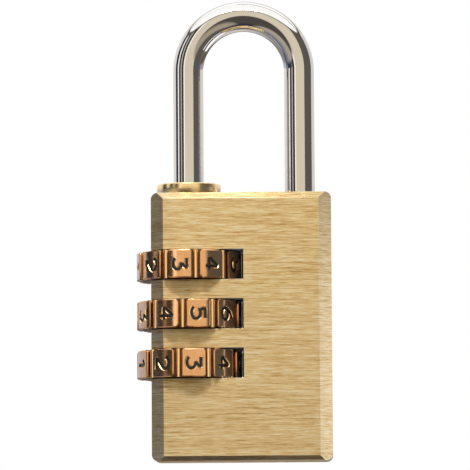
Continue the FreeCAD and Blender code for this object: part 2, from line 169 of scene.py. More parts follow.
def fill_ramp(node, stops):
    """Give a Color Ramp its stops: (place, hex colour)."""
    ramp = node.color_ramp
    while len(ramp.elements) > 1:
        ramp.elements.remove(ramp.elements[-1])
    for index, (place, colour) in enumerate(stops):
        element = ramp.elements[0] if index == 0 else ramp.elements.new(place)
        element.position = place
        element.color = linear(colour)


def new_metal(name, colour, roughness, anisotropy=0.0):
    """A bare metal: its material, tree, shader, and Object coordinates in millimetres."""
    material = bpy.data.materials.new(name)
    material.use_nodes = True
    tree = material.node_tree
    shader = tree.nodes["Principled BSDF"]
    shader.inputs["Base Color"].default_value = linear(colour)
    shader.inputs["Metallic"].default_value = 1.0
    shader.inputs["Roughness"].default_value = roughness
    shader.inputs["Anisotropic"].default_value = anisotropy
    place = add_node(tree, "ShaderNodeTexCoord")
    scaled = add_node(tree, "ShaderNodeMapping", {"Vector": place.outputs["Object"]},
                      {"Scale": (1 / MM, 1 / MM, 1 / MM)})
    return material, tree, shader, scaled.outputs["Vector"]


def mesh_object(name, mesh):
    obj = bpy.data.objects.new(name, mesh)
    bpy.context.scene.collection.objects.link(obj)
    return obj


def finished(obj, name, smooth_angle=SHARP_ANGLE):
    """The plain mesh of an object with its modifiers, and a new object with only that."""
    graph = bpy.context.evaluated_depsgraph_get()
    mesh = bpy.data.meshes.new_from_object(obj.evaluated_get(graph))
    bpy.data.objects.remove(obj)
    return smoothed(mesh_object(name, mesh), smooth_angle)


def smoothed(obj, smooth_angle):
    mesh = obj.data
    mesh.name = obj.name
    mesh.polygons.foreach_set("use_smooth", [True] * len(mesh.polygons))
    mesh.set_sharp_from_angle(angle=math.radians(smooth_angle))
    return obj


def new_tree(name, sizes, holders=()):
    """A Geometry Nodes tree with named number inputs, and object inputs where it has any."""
    tree = bpy.data.node_groups.new(name, "GeometryNodeTree")
    tree.interface.new_socket("Geometry", in_out="INPUT", socket_type="NodeSocketGeometry")
    for size, value in sizes.items():
        kind = "NodeSocketInt" if isinstance(value, int) else "NodeSocketFloat"
        tree.interface.new_socket(size, in_out="INPUT", socket_type=kind).default_value = value
    for holder in holders:
        tree.interface.new_socket(holder, in_out="INPUT", socket_type="NodeSocketObject")
    tree.interface.new_socket("Geometry", in_out="OUTPUT", socket_type="NodeSocketGeometry")
    return tree, tree.nodes.new("NodeGroupInput"), tree.nodes.new("NodeGroupOutput")


def run_tree(obj, tree, values):
    """Put a tree on an object, with its inputs set by the names of the sockets."""
    modifier = obj.modifiers.new(tree.name, "NODES")
    modifier.node_group = tree
    for item in tree.interface.items_tree:
        if item.item_type == "SOCKET" and item.in_out == "INPUT" and item.name in values:
            modifier[item.identifier] = values[item.name]


# Materials


def noise(tree, place, scale, detail, roughness=0.5):
    """The value of a noise; a scale of three numbers draws it out into lines or rings."""
    if isinstance(scale, tuple):
        place = add_node(tree, "ShaderNodeMapping", {"Vector": place}, {"Scale": scale}).outputs["Vector"]
        scale = 1.0
    texture = add_node(tree, "ShaderNodeTexNoise", {"Vector": place},
                       {"Scale": scale, "Detail": detail, "Roughness": roughness})
    return texture.outputs["Fac"]


def vary_colour(tree, shader, value, stops):
    """Let a value choose the shader's colour from a ramp."""
    tint = add_node(tree, "ShaderNodeValToRGB", {"Fac": value})
    fill_ramp(tint, stops)
    tree.links.new(tint.outputs["Color"], shader.inputs["Base Color"])


def vary_roughness(tree, shader, value, span, limits):
    """Let a value, over its span, take the shader's roughness from one limit to the other."""
    rough = add_node(tree, "ShaderNodeMapRange", {"Value": value},
                     {"From Min": span[0], "From Max": span[1], "To Min": limits[0], "To Max": limits[1]})
    tree.links.new(rough.outputs[0], shader.inputs["Roughness"])


def add_relief(tree, shader, value, strength):
    """Let a value stand for fine relief in the surface."""
    bump = add_node(tree, "ShaderNodeBump", {"Height": value},
                    {"Strength": strength, "Distance": RELIEF_DEPTH * MM})
    tree.links.new(bump.outputs["Normal"], shader.inputs["Normal"])


def linished_brass():
    """Yellow brass drawn over a belt: fine level lines, which spread a reflection up and down."""
    material, tree, shader, place = new_metal("linished_brass", "#D4BF93", 0.42, 0.8)
    shader.inputs["Anisotropic Rotation"].default_value = 0.25
    around = add_node(tree, "ShaderNodeTangent", direction_type="RADIAL", axis="Z")
    tree.links.new(around.outputs["Tangent"], shader.inputs["Tangent"])
    # Lines 0.07 to 0.2 mm apart and 1 to 7 mm long, drawn coarser than the real grit
    broad = noise(tree, place, (0.15, 0.15, 6.0), 5.0, 0.75)
    fine = noise(tree, place, (0.8, 0.8, 15.0), 2.0, 0.6)
    both = calculate(tree, "ADD", broad, fine)
    # Where the belt cut deeper the brass looks darker and redder
    shade = add_node(tree, "ShaderNodeMapRange", {"Value": both},
                     {"From Min": 0.75, "From Max": 1.25, "To Min": 0.0, "To Max": 1.0})
    vary_colour(tree, shader, shade.outputs[0],
                [(0.0, "#B18E59"), (0.42, "#D3B987"), (0.7, "#DBC79B"), (1.0, "#E1D9BC")])
    vary_roughness(tree, shader, broad, (0.3, 0.7), (0.38, 0.46))
    add_relief(tree, shader, both, 0.35)
    return material


def burnished_edge():
    """Edges of the brass block: a paler brass than the faces, a painted highlight that draws a thin pale
    line along them.
    """
    return new_metal("burnished_edge", "#FFF1D0", 0.34)[0]


def milled_dark_brass():
    """Inside the slots and bores: painted shade, a matt grey that stands for the shade of these recesses in
    place of the unpolished brass.
    """
    material, tree, shader, place = new_metal("milled_dark_brass", "#91959D", 0.6)
    shader.inputs["Metallic"].default_value = 0.0
    vary_colour(tree, shader, noise(tree, place, 1.6, 4.0, 0.6), [(0.3, "#888B93"), (0.7, "#9BA0A8")])
    return material


def turned_brass():
    """Brass from the lathe: bright, with fine rings along its height."""
    material, tree, shader, place = new_metal("turned_brass", "#F8DCA4", 0.2)
    add_relief(tree, shader, noise(tree, place, (0.05, 0.05, 9.0), 3.0, 0.7), 0.5)
    return material


def sleeve_brass():
    """Sleeves: brass as it comes off the lathe, never handled."""
    material, tree, shader, place = new_metal("sleeve_brass", "#D9B46C", 0.32)
    add_relief(tree, shader, noise(tree, place, (0.05, 0.05, 7.0), 2.0), 0.4)
    return material


def bronzed_brass():
    """Dials: brass with a warm bronze tint, tumbled smooth, a little duller here and there."""
    material, tree, shader, place = new_metal("bronzed_brass", "#E2AC76", 0.2)
    shader.inputs["Coat Weight"].default_value = 1.0
    shader.inputs["Coat Roughness"].default_value = 0.08
    wear = noise(tree, place, 0.9, 3.0, 0.55)
    vary_colour(tree, shader, wear, [(0.3, "#DBA26C"), (0.7, "#E9B785")])
    vary_roughness(tree, shader, wear, (0.3, 0.7), (0.1, 0.16))
    add_relief(tree, shader, noise(tree, place, 9.0, 2.0), 0.12)
    return material


def rubbed_brass():
    """Ribs between the pads and the lips of the numbers: the bronze tint is rubbed off them."""
    return new_metal("rubbed_brass", "#FFDBA2", 0.16)[0]


def dulled_bronze():
    """Floors of the gaps and the flat sides of the dials: painted shade, a dark brown that stands for the
    shade in the gaps and under the dials.
    """
    material, tree, shader, place = new_metal("dulled_bronze", "#6E5343", 0.4)
    vary_colour(tree, shader, noise(tree, place, 2.2, 3.0), [(0.3, "#5C4436"), (0.7, "#80624F")])
    return material


def black_enamel():
    """Enamel wiped into the engraved numbers: near black, with a soft gloss."""
    material = bpy.data.materials.new("black_enamel")
    material.use_nodes = True
    tree = material.node_tree
    shader = tree.nodes["Principled BSDF"]
    shader.inputs["Roughness"].default_value = 0.38
    place = add_node(tree, "ShaderNodeTexCoord")
    specks = noise(tree, place.outputs["Object"], 4 / MM, 2.0)
    vary_colour(tree, shader, specks, [(0.35, "#131110"), (0.75, "#2A2522")])
    return material


def chromed_steel():
    """Shackle: steel plated with bright chrome, smooth apart from faint marks across the rod."""
    material, tree, shader, place = new_metal("chromed_steel", "#D3D1CE", 0.045)
    vary_roughness(tree, shader, noise(tree, place, (0.4, 0.4, 3.0), 3.0), (0.35, 0.7), (0.03, 0.09))
    return material


def drawn_steel(name, colour, roughness):
    """Inner steel pieces: drawn wire, ground pins and sheet, a little uneven in tone."""
    material, tree, shader, place = new_metal(name, colour, roughness)
    vary_roughness(tree, shader, noise(tree, place, 2.5, 3.0), (0.3, 0.7),
                   (roughness * 0.8, roughness * 1.3))
    return material


# Lock body


def depth_in_block(point):
    """How far a point, in millimetres, lies inside the block's outer faces."""
    x = abs(point.x)
    y = abs(point.y)
    across = BODY_HIGH.x + BODY_HIGH.y - SIDE_CHAMFER
    return min(
        BODY_HIGH.x - x,
        BODY_HIGH.y - y,
        point.z - BODY_LOW.z,
        BODY_HIGH.z - point.z,
        (across - x - y) / math.sqrt(2),
        (BODY_HIGH.y + BODY_HIGH.z - TOP_CHAMFER - y - point.z) / math.sqrt(2),
        (BODY_HIGH.y - BOTTOM_CHAMFER - y + point.z) / math.sqrt(2),
    )


def make_lock_body(outside, inside, edges):
    """The solid's own form with broken edges, and painted shade, a matt grey, inside the slots and bores.
    """
    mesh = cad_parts["lock_body"].data.copy()
    mesh.materials.clear()
    form = bmesh.new()
    form.from_mesh(mesh)
    bmesh.ops.remove_doubles(form, verts=form.verts, dist=1e-7)
    bmesh.ops.dissolve_limit(form, angle_limit=math.radians(1), verts=form.verts, edges=form.edges)
    # Faces deep inside the slots and bores get the second finish, the painted shade
    for face in form.faces:
        inner = depth_in_block(face.calc_center_median() / MM) > FACE_DEPTH
        face.material_index = int(inner)
    form.to_mesh(mesh)
    form.free()
    finishes = (outside, inside, edges)
    for material in finishes:
        mesh.materials.append(material)
    block = mesh_object("block", mesh)
    rounding = block.modifiers.new("broken_edges", "BEVEL")
    rounding.width = BODY_EDGE_BREAK * MM
    rounding.segments = 2
    rounding.limit_method = "ANGLE"
    rounding.angle_limit = math.radians(SHARP_ANGLE)
    # The broken edges get the painted highlight, a paler brass
    rounding.material = finishes.index(edges)
    body = finished(block, "brass_body")
    for polygon in body.data.polygons:
        if polygon.material_index == finishes.index(outside) and polygon.area > BROAD_FACE * MM * MM:
            polygon.use_smooth = False
    return body


# Shackle and collar


def shackle_tree():
    """A rod along a path: round section, chamfered ends."""
    tree, inputs, output = new_tree("bent_rod", {"Rod Radius": ROD_RADIUS * MM, "Sides": ROD_SIDES})
    path = add_node(tree, "GeometryNodeMeshToCurve", {"Mesh": inputs.outputs["Geometry"]})
    share = add_node(tree, "GeometryNodeInputNamedAttribute", values={"Name": "end_taper"},
                     data_type="FLOAT")
    section = add_node(tree, "GeometryNodeCurvePrimitiveCircle",
                       {"Resolution": inputs.outputs["Sides"], "Radius": inputs.outputs["Rod Radius"]})
    rod = add_node(tree, "GeometryNodeCurveToMesh",
                   {"Curve": path.outputs["Curve"], "Profile Curve": section.outputs["Curve"],
                    "Scale": share.outputs["Attribute"]}, {"Fill Caps": True})
    whole = add_node(tree, "GeometryNodeRealizeInstances", {"Geometry": rod.outputs["Mesh"]})
    dressed = add_node(tree, "GeometryNodeSetMaterial", {"Geometry": whole.outputs["Geometry"]},
                       {"Material": bpy.data.materials["chromed_steel"]})
    tree.links.new(dressed.outputs["Geometry"], output.inputs["Geometry"])
    return tree


def shackle_path():
    """Points along the rod's middle, in millimetres, each with the width of the rod there."""
    slim = 1 - LEG_END_CHAMFER / ROD_RADIUS
    path = [(HEEL_X, SHACKLE_LOW.z, slim), (HEEL_X, SHACKLE_LOW.z + LEG_END_CHAMFER, 1.0)]
    middle = HEEL_X + BOW_RADIUS
    for n in range(BOW_STEPS + 1):
        angle = math.pi * (1 - n / BOW_STEPS)
        path.append((middle + BOW_RADIUS * math.cos(angle),
                     BOW_HEIGHT + BOW_RADIUS * math.sin(angle), 1.0))
    path += [(TOE_X, TOE_END + LEG_END_CHAMFER, 1.0), (TOE_X, TOE_END, slim)]
    return path


def make_shackle():
    path = shackle_path()
    mesh = bpy.data.meshes.new("rod_path")
    points = [(x * MM, 0.0, z * MM) for x, z, width in path]
    mesh.from_pydata(points, [(n, n + 1) for n in range(len(points) - 1)], [])
    taper = mesh.attributes.new("end_taper", "FLOAT", "POINT")
    taper.data.foreach_set("value", [width for x, z, width in path])
    rod = mesh_object("rod", mesh)
    run_tree(rod, shackle_tree(), {"Rod Radius": ROD_RADIUS * MM, "Sides": ROD_SIDES})
    return finished(rod, "chromed_shackle")


def lathe_mesh(name, profile, centre_x, sides):
    """Turn a closed profile of (radius, height) about an upright axis, in millimetres."""
    form = bmesh.new()
    rings = []
    for step in range(sides):
        angle = 2 * math.pi * step / sides
        turn = (math.cos(angle), math.sin(angle))
        rings.append([
            form.verts.new(((centre_x + radius * turn[0]) * MM, radius * turn[1] * MM, height * MM))
            for radius, height in profile
        ])
    for ring, following in zip(rings, rings[1:] + rings[:1]):
        for n in range(len(profile)):
            after = (n + 1) % len(profile)
            form.faces.new((ring[n], following[n], following[after], ring[after]))
    bmesh.ops.recalc_face_normals(form, faces=form.faces)
    mesh = bpy.data.meshes.new(name)
    form.to_mesh(mesh)
    form.free()
    return mesh


def rounded(corner, towards_before, towards_after, radius, steps=4):
    """Points of a quarter round at a square corner, from one side's direction to the other's."""
    centre = [at + radius * (before + after)
              for at, before, after in zip(corner, towards_before, towards_after)]
    points = []
    for n in range(steps + 1):
        angle = math.pi / 2 * n / steps
        points.append(tuple(
            middle - radius * (after * math.cos(angle) + before * math.sin(angle))
            for middle, before, after in zip(centre, towards_before, towards_after)
        ))
    return points


def make_collar():
    """The turned bush at the foot of the long leg, with a rolled upper edge."""
    flange = (COLLAR_HIGH.x - COLLAR_LOW.x) / 2
    top = COLLAR_HIGH.z
    face = BODY_HIGH.z
    profile = [(COLLAR_RECESS, COLLAR_LOW.z), (COLLAR_SPIGOT, COLLAR_LOW.z), (COLLAR_SPIGOT, face)]
    profile += rounded((flange, face), (-1, 0), (0, 1), COLLAR_FOOT_EDGE, 2)
    profile += rounded((flange, top), (0, -1), (-1, 0), COLLAR_EDGE)
    profile += rounded((COLLAR_BORE, top), (1, 0), (0, -1), COLLAR_BORE_EDGE, 2)
    profile += [(COLLAR_BORE, COLLAR_STOP), (COLLAR_RECESS, COLLAR_STOP)]
    collar = mesh_object("brass_collar", lathe_mesh("brass_collar", profile, HEEL_X, COLLAR_SIDES))
    collar.data.materials.append(bpy.data.materials["turned_brass"])
    return smoothed(collar, smooth_angle=35)


# Dials, drawn flat: X along the rim to the right, Y up the dial, Z outwards from the dial's face


def arc(centre, radius, start, end, steps=10):
    """Points of a round stretch, from one angle to another in degrees; radius may be a pair."""
    across, up = radius if isinstance(radius, tuple) else (radius, radius)
    angles = [math.radians(start + (end - start) * n / steps) for n in range(steps + 1)]
    return [(centre[0] + across * math.cos(a), centre[1] + up * math.sin(a)) for a in angles]


# Middle lines of the engraved numbers, upright, in millimetres; the second value closes a line
NUMBERS = {
    0: [(arc((0, 0), (0.46, 0.78), 90, 432, 24), True)],
    1: [([(-0.32, 0.46), (0.08, 0.78), (0.08, -0.78)], False)],
    2: [(arc((0.0, 0.32), 0.46, 165, -35, 12) + [(-0.5, -0.78), (0.5, -0.78)], False)],
    3: [([(-0.42, 0.78), (0.42, 0.78), (-0.04, 0.18)] + arc((-0.02, -0.3), 0.48, 85, -150, 14), False)],
    4: [([(0.5, -0.32), (-0.52, -0.32), (0.2, 0.78), (0.2, -0.78)], False)],
    5: [([(0.42, 0.78), (-0.3, 0.78), (-0.36, 0.06)] + arc((-0.04, -0.28), 0.5, 125, -150, 14), False)],
    6: [([(0.3, 0.78), (-0.1, 0.5)] + arc((0.0, -0.3), 0.47, 165, 505, 20), False)],
    7: [([(-0.46, 0.78), (0.46, 0.78), (-0.1, -0.78)], False)],
    8: [(arc((0, 0.4), 0.37, -80, 250, 18), True), (arc((0, -0.34), 0.45, 80, 410, 20), True)],
    9: [([(-0.3, -0.78), (0.1, -0.5)] + arc((0.0, 0.3), 0.47, -15, 325, 20), False)],
}


def number_lines():
    """Every number's lines laid out along the rim, its top to the right, as one wire mesh."""
    points = []
    edges = []
    pitch = 2 * math.pi * DIAL_RADIUS / NUMBER_COUNT
    for number in range(NUMBER_COUNT):
        for line, closed in NUMBERS[number]:
            start = len(points)
            points += [((number * pitch + y) * MM, (DIAL_HEIGHT / 2 - x * NUMBER_BREADTH) * MM, 0.0)
                       for x, y in line]
            edges += [(n, n + 1) for n in range(start, len(points) - 1)]
            if closed:
                edges.append((len(points) - 1, start))
    mesh = bpy.data.meshes.new("number_lines")
    mesh.from_pydata(points, edges, [])
    return mesh


def pad_mesh():
    """One number pad, drawn flat: rounded corners, a bevel all round, walls that lean in."""
    half_step = math.pi / NUMBER_COUNT
    half_gap = GAP_WIDTH / 2

    def half_width(radius):
        return DIAL_RADIUS * (half_step - math.asin(half_gap / radius))

    wide = half_width(DIAL_RADIUS)
    tall = DIAL_HEIGHT / 2 - PAD_SHORT
    foot = GAP_FLOOR - PAD_SUNK
    lean = wide - half_width(foot)
    soft = PAD_EDGE * (1 - math.sqrt(0.5))
    # Each ring: how far it stands in from the outline, and its height over the dial's face
    rings = [(lean, foot - DIAL_RADIUS), (0.0, -PAD_EDGE), (soft, -soft), (PAD_EDGE, 0.0)]
    corner_steps = 5
    edge_steps = 16
    form = bmesh.new()
    loops = []
    for inset, height in rings:
        radius = PAD_CORNER - min(inset, PAD_EDGE)
        side = wide - inset - radius
        upper = [(side + radius * math.cos(a), radius * math.sin(a))
                 for a in (math.pi / 2 * n / corner_steps for n in range(corner_steps + 1))]
        upper += [(side * (1 - 2 * n / edge_steps), radius) for n in range(1, edge_steps)]
        upper += [(-x, y) for x, y in reversed(upper[:corner_steps + 1])]
        rise = tall - min(inset, PAD_EDGE) - radius
        loops.append([
            [form.verts.new((x * MM, (DIAL_HEIGHT / 2 + side_sign * (rise + y)) * MM, height * MM))
             for x, y in upper]
            for side_sign in (1, -1)
        ])
    rings_of_verts = [top + bottom[::-1] for top, bottom in loops]
    for ring, inner in zip(rings_of_verts, rings_of_verts[1:]):
        for n in range(len(ring)):
            after = (n + 1) % len(ring)
            form.faces.new((ring[n], ring[after], inner[after], inner[n]))
    for top, bottom in (loops[0], loops[-1]):
        for n in range(len(top) - 1):
            form.faces.new((top[n], top[n + 1], bottom[n + 1], bottom[n]))
    bmesh.ops.recalc_face_normals(form, faces=form.faces)
    mesh = bpy.data.meshes.new("number_pad")
    form.to_mesh(mesh)
    form.free()
    return mesh


def wrap_round(tree, geometry, radius):
    """Nodes that bend a flat drawing round the dial's axis, its X origin at the front."""
    position = add_node(tree, "GeometryNodeInputPosition")
    flat = add_node(tree, "ShaderNodeSeparateXYZ", {0: position.outputs[0]})
    angle = calculate(tree, "DIVIDE", flat.outputs["X"], radius)
    out = calculate(tree, "ADD", flat.outputs["Z"], radius)
    across = calculate(tree, "MULTIPLY", out, calculate(tree, "SINE", angle))
    back = calculate(tree, "MULTIPLY", calculate(tree, "COSINE", angle), -1.0)
    along = calculate(tree, "MULTIPLY", out, back)
    bent = add_node(tree, "ShaderNodeCombineXYZ", {"X": across, "Y": along, "Z": flat.outputs["Y"]})
    moved = add_node(tree, "GeometryNodeSetPosition", {"Geometry": geometry, "Position": bent.outputs[0]})
    return moved.outputs["Geometry"]


def repeat_round(tree, geometry, count):
    """Nodes that repeat a geometry round the Z axis."""
    places = add_node(tree, "GeometryNodeMeshLine", {"Count": count}, {"Offset": (0.0, 0.0, 0.0)})
    index = add_node(tree, "GeometryNodeInputIndex")
    share = calculate(tree, "DIVIDE", index.outputs[0], count)
    turn = calculate(tree, "MULTIPLY", share, 2 * math.pi)
    angles = add_node(tree, "ShaderNodeCombineXYZ", {"Z": turn})
    copies = add_node(tree, "GeometryNodeInstanceOnPoints",
                      {"Points": places.outputs["Mesh"], "Instance": geometry,
                       "Rotation": angles.outputs[0]})
    real = add_node(tree, "GeometryNodeRealizeInstances", {"Geometry": copies.outputs["Instances"]})
    return real.outputs["Geometry"]


def mark_faces(tree, geometry, name):
    """Nodes that give the faces of a geometry a mark, for the choice of their material."""
    marked = add_node(tree, "GeometryNodeStoreNamedAttribute", {"Geometry": geometry},
                      {"Name": name, "Value": True}, data_type="BOOLEAN", domain="FACE")
    return marked.outputs["Geometry"]


def stroke_solid(tree, lines, half_widths, heights):
    """Nodes that sweep a four-cornered section along the numbers' lines."""
    low, high = heights
    foot, brim = half_widths
    # A section's Y points into the dial
    section = add_node(tree, "GeometryNodeCurvePrimitiveQuadrilateral", mode="POINTS", values={
        "Point 1": (foot, -low, 0.0), "Point 2": (-foot, -low, 0.0),
        "Point 3": (-brim, -high, 0.0), "Point 4": (brim, -high, 0.0)})
    swept = add_node(tree, "GeometryNodeCurveToMesh",
                     {"Curve": lines, "Profile Curve": section.outputs["Curve"]}, {"Fill Caps": True})
    clean = add_node(tree, "GeometryNodeMeshBoolean", {"Mesh 2": swept.outputs["Mesh"]},
                     {"Self Intersection": True}, operation="UNION", solver="EXACT")
    return clean.outputs["Mesh"]


def dial_tree():
    """A dial: pads and ribs repeated round a ring, and the numbers cut into the pads."""
    sizes = {"Numbers": NUMBER_COUNT, "Dial Radius": DIAL_RADIUS * MM, "Dial Height": DIAL_HEIGHT * MM,
             "Rib Circle": (RIB_TOP - RIB_RADIUS) * MM, "Rib Radius": RIB_RADIUS * MM}
    tree, inputs, output = new_tree("number_dial", sizes, ("Pad", "Lines"))
    pad = add_node(tree, "GeometryNodeObjectInfo", {"Object": inputs.outputs["Pad"]})
    bent_pad = wrap_round(tree, pad.outputs["Geometry"], inputs.outputs["Dial Radius"])
    pads = repeat_round(tree, bent_pad, inputs.outputs["Numbers"])

    wire = add_node(tree, "GeometryNodeObjectInfo", {"Object": inputs.outputs["Lines"]})
    lines = add_node(tree, "GeometryNodeMeshToCurve", {"Mesh": wire.outputs["Geometry"]})
    bends = add_node(tree, "GeometryNodeFilletCurve", {"Curve": lines.outputs["Curve"]},
                     {"Count": 4, "Radius": STROKE_CORNER * MM}, mode="POLY")
    upright = add_node(tree, "GeometryNodeSetCurveNormal", {"Curve": bends.outputs["Curve"]}, mode="Z_UP")
    half = STROKE_WIDTH / 2 * MM
    lip = STROKE_LIP * MM
    brim = CUTTER_RISE * MM
    slope = stroke_solid(tree, upright.outputs["Curve"], (half, half + lip + brim), (-lip, brim))
    core = stroke_solid(tree, upright.outputs["Curve"], (half * STROKE_TAPER, half),
                        (-STROKE_DEPTH * MM, lip))
    cuts = (mark_faces(tree, slope, "bare"), mark_faces(tree, core, "painted"))
    cutters = [wrap_round(tree, cut, inputs.outputs["Dial Radius"]) for cut in cuts]
    engraved = add_node(tree, "GeometryNodeMeshBoolean", {"Mesh 1": pads, "Mesh 2": cutters},
                        operation="DIFFERENCE", solver="MANIFOLD")

    round_rib = add_node(tree, "GeometryNodeMeshCylinder",
                         {"Radius": inputs.outputs["Rib Radius"], "Depth": inputs.outputs["Dial Height"]},
                         {"Vertices": RIB_SIDES})
    half_turn = math.pi / NUMBER_COUNT
    reach = calculate(tree, "MULTIPLY", inputs.outputs["Rib Circle"], math.sin(half_turn))
    depth = calculate(tree, "MULTIPLY", inputs.outputs["Rib Circle"], -math.cos(half_turn))
    middle = calculate(tree, "MULTIPLY", inputs.outputs["Dial Height"], 0.5)
    rib_place = add_node(tree, "ShaderNodeCombineXYZ", {"X": reach, "Y": depth, "Z": middle})
    rib = add_node(tree, "GeometryNodeTransform",
                   {"Geometry": round_rib.outputs["Mesh"], "Translation": rib_place.outputs[0]},
                   {"Scale": (1.0, 1.0, RIB_SHARE)})
    bare_rib = mark_faces(tree, rib.outputs["Geometry"], "bare")
    ribs = repeat_round(tree, bare_rib, inputs.outputs["Numbers"])

    groove_length = KEY_GROOVE_REACH - KEY_GROOVE_START
    groove_size = (groove_length * MM, KEY_GROOVE_WIDTH * MM, 2 * DIAL_HEIGHT * MM)
    block = add_node(tree, "GeometryNodeMeshCube", values={"Size": groove_size})
    groove = add_node(tree, "GeometryNodeTransform", {"Geometry": block.outputs["Mesh"]},
                      {"Translation": ((KEY_GROOVE_REACH + KEY_GROOVE_START) / 2 * MM, 0.0, 0.0)})
    grooves = repeat_round(tree, groove.outputs["Geometry"], inputs.outputs["Numbers"])
    core_ring = add_node(tree, "GeometryNodeMeshBoolean",
                         {"Mesh 1": inputs.outputs["Geometry"], "Mesh 2": grooves},
                         operation="DIFFERENCE", solver="MANIFOLD")
    # The core ring, with the gap floors and the flat sides, is marked for the painted shade
    core_shade_ring = mark_faces(tree, core_ring.outputs["Mesh"], "dull")

    whole = add_node(tree, "GeometryNodeMeshBoolean",
                     {"Mesh 2": [core_shade_ring, engraved.outputs["Mesh"], ribs]},
                     operation="UNION", solver="MANIFOLD")
    real = add_node(tree, "GeometryNodeRealizeInstances", {"Geometry": whole.outputs["Mesh"]})
    metal = add_node(tree, "GeometryNodeSetMaterial", {"Geometry": real.outputs["Geometry"]},
                     {"Material": bpy.data.materials["bronzed_brass"]})
    dressed = metal.outputs["Geometry"]
    # The core ring's mark chooses the painted shade
    marked = {"dull": "dulled_bronze", "bare": "rubbed_brass", "painted": "black_enamel"}
    for mark, material in marked.items():
        chosen = add_node(tree, "GeometryNodeInputNamedAttribute", values={"Name": mark},
                          data_type="BOOLEAN")
        finish = add_node(tree, "GeometryNodeSetMaterial",
                          {"Geometry": dressed, "Selection": chosen.outputs["Attribute"]},
                          {"Material": bpy.data.materials[material]})
        dressed = finish.outputs["Geometry"]
    tree.links.new(dressed, output.inputs["Geometry"])
    return tree


def make_dials():
    """Three dials of one pattern: each has its own number at the front, and its own turn."""
    pad = mesh_object("pad_pattern", pad_mesh())
    lines = mesh_object("line_pattern", number_lines())
    profile = [(DIAL_FREE_BORE, 0.0)]
    profile += [(GAP_FLOOR - DIAL_CHAMFER, 0.0), (GAP_FLOOR, DIAL_CHAMFER)]
    profile += [(GAP_FLOOR, DIAL_HEIGHT - DIAL_CHAMFER), (GAP_FLOOR - DIAL_CHAMFER, DIAL_HEIGHT)]
    profile += [(DIAL_BORE, DIAL_HEIGHT), (DIAL_BORE, DIAL_HEIGHT - KEY_GROOVE_LENGTH)]
    profile += [(DIAL_FREE_BORE, DIAL_HEIGHT - KEY_GROOVE_LENGTH)]
    ring_mesh = lathe_mesh("dial_core", profile, 0.0, DIAL_SIDES)
    ring_mesh.materials.append(bpy.data.materials["bronzed_brass"])
    ring = mesh_object("dial_core", ring_mesh)
    run_tree(ring, dial_tree(), {"Pad": pad, "Lines": lines})
    pattern = finished(ring, "number_dial", smooth_angle=20)
    dials = []
    for name in DIALS:
        number, turn = FRONT_NUMBERS[name]
        angle = math.radians(turn) - number * 2 * math.pi / NUMBER_COUNT
        foot = box_mm("dial_" + name)[0].z
        place = Matrix.Translation(Vector((HEEL_X, 0.0, foot)) * MM)
        mesh = pattern.data.copy()
        mesh.transform(place @ Matrix.Rotation(angle, 4, "Z"))
        dials.append(mesh_object(name + "_number_dial", mesh))
    for helper in (pad, lines, pattern):
        bpy.data.objects.remove(helper)
    return dials


# Stage


# The studio as the shackle mirrors it, from the floor up. Each layer: the elevation that it starts at,
# how softly, and its colours round the lock, from behind on the left to behind on the right. The two
# layers below the lock's level share what stands in front
FRONT_BELOW = ((-120, "#8A8783"), (-100, "#737A94"), (-78, "#737A94"), (-60, "#A39B90"), (-42, "#ABA08F"),
               (-32, "#4B4643"), (8, "#4B4643"), (18, "#A09686"), (36, "#A09686"), (46, "#5A5550"),
               (95, "#5A5550"))
ROOM = (
    (-90, 0, ((-180, "#2B3040"),)),
    (-62, 8, ((-180, "#C9C5C1"), *FRONT_BELOW, (110, "#C9C5C1"))),
    (-22, 6, ((-180, "#5F5B58"), *FRONT_BELOW, (110, "#5F5B58"))),
    (-1, 2, ((-180, "#A9B0C2"), (-108, "#2E3442"), (-58, "#6E6A66"), (-50, "#3C3834"), (-35, "#FBF7F0"),
             (-26, "#D3C8B4"), (40, "#515963"), (105, "#9C98A6"))),
    (5.6, 0.2, ((-180, "#D8D5D3"), (-108, "#33363C"), (-85, "#F2F0EE"), (-74, "#3A3632"), (-58, "#B5B0AA"),
                (-50, "#3C3834"), (-35, "#FBF7F0"), (-26, "#D3C8B4"), (40, "#5A5550"), (105, "#D0CDCB"))),
    (37.5, 1, ((-180, "#55504A"),)),
    (42, 1, ((-180, "#FFFFFF"), (-113, "#A9A5A1"), (-109, "#FFFFFF"))),
)
BLENDED_LAYERS = (1, 2)  # the layers whose colours run into each other; the others change in steps
ROOM_LIGHT = 1.5
# A dark arch that stands a little behind the lock, on the right: how far back, half its width, and
# where it ends on the left
ARCH_BACK = 0.2
ARCH_HALF_WIDTH = 0.035
ARCH_LEFT_END = -0.1
ARCH_COLOUR = "#3C3835"
# Places of the two colours and of the result among a Mix node's sockets
MIX_UNDER = 6
MIX_OVER = 7
MIX_RESULT = 2

TABLE_HALF_WIDTH = 3000
TABLE_LEVEL = -0.02     # a hair under the lock's foot
TABLE_GLOW = 0.42       # lifts the table to the photograph's white where the camera sees it


